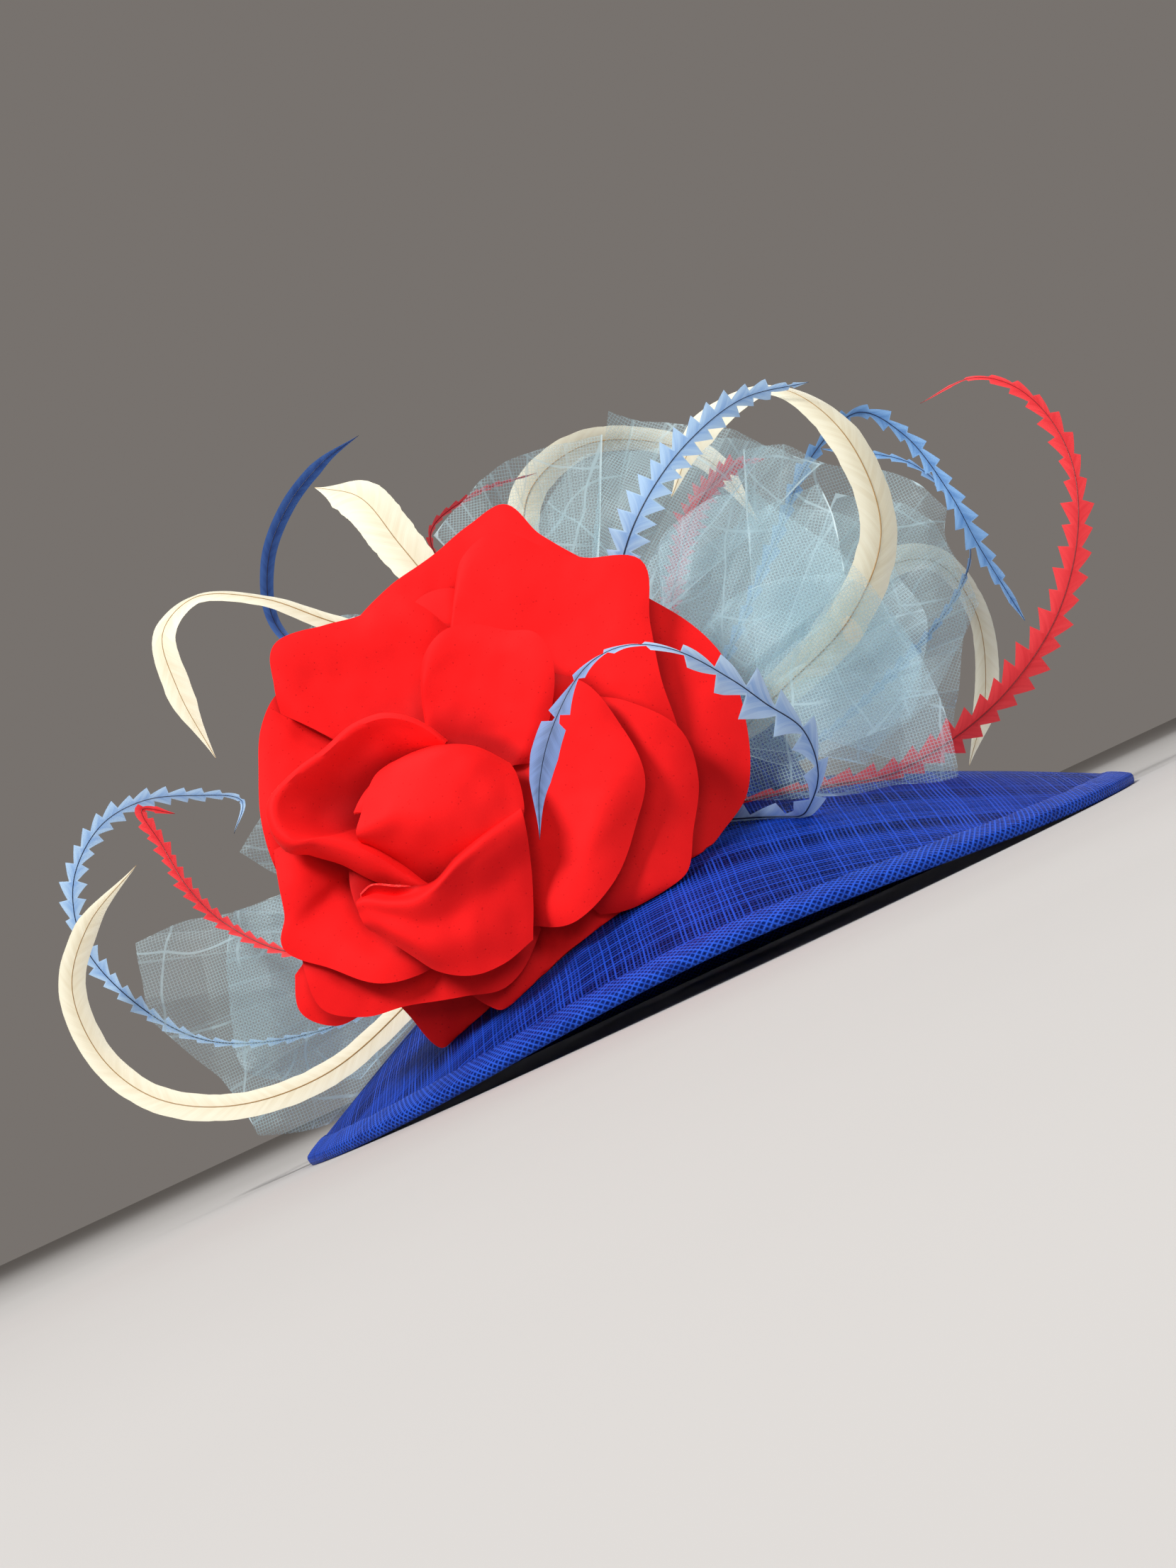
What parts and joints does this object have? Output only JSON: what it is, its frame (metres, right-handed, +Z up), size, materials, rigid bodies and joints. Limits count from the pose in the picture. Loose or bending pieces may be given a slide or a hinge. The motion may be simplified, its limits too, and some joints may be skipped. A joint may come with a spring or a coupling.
{
  "type": "race day hat",
  "caption": "Wide-brimmed woven straw dress hat with a bound rim, a large foam rose, net pouf and curled feathers; it rests on its rim.",
  "frame": {"origin": "middle of the hat's footprint, on the surface that the rim rests on", "axes": "+Z up through the crown, -Y towards the face side, +X towards the wearer's left as seen in the picture's right"},
  "size_m": [0.646, 0.481, 0.3585],
  "materials": {
    "straw": "open woven straw, satin",
    "binding": "folded bias-woven straw, satin",
    "foam": "matt foam sheet",
    "net": "fine open net",
    "ivory_feather": "feather, satin",
    "blue_feather": "feather, satin",
    "red_feather": "feather, satin"
  },
  "bodies": {
    "root": {"blue_feather_front": "blue_feather", "blue_feather_loop": "blue_feather", "blue_feather_lower_left": "blue_feather", "blue_feather_over_rose": "blue_feather", "blue_feather_right": "blue_feather", "blue_feather_upper_left": "blue_feather", "brim": "straw", "crown": "straw", "ivory_feather_front": "ivory_feather", "ivory_feather_left": "ivory_feather", "ivory_feather_lower_left": "ivory_feather", "ivory_feather_right": "ivory_feather", "ivory_feather_top": "ivory_feather", "ivory_feather_upper_left": "ivory_feather", "net_front": "net", "net_left": "net", "net_left_upper": "net", "net_lower_left": "net", "net_right": "net", "net_top": "net", "petal_back_small": "foam", "petal_back_top": "foam", "petal_bottom": "foam", "petal_bottom_curl": "foam", "petal_bottom_right": "foam", "petal_centre_top": "foam", "petal_inner_left": "foam", "petal_inner_right": "foam", "petal_inner_wrap": "foam", "petal_left_cup": "foam", "petal_lower_left": "foam", "petal_lowest": "foam", "petal_outer_left": "foam", "petal_outer_right": "foam", "petal_right": "foam", "petal_upper_left": "foam", "petal_upper_right": "foam", "red_feather_left": "red_feather", "red_feather_right": "red_feather", "red_feather_top": "red_feather", "red_feather_upper_left": "red_feather", "rim_binding": "binding", "rose_bud": "foam", "rose_pad": "foam"}
  },
  "joints": []
}
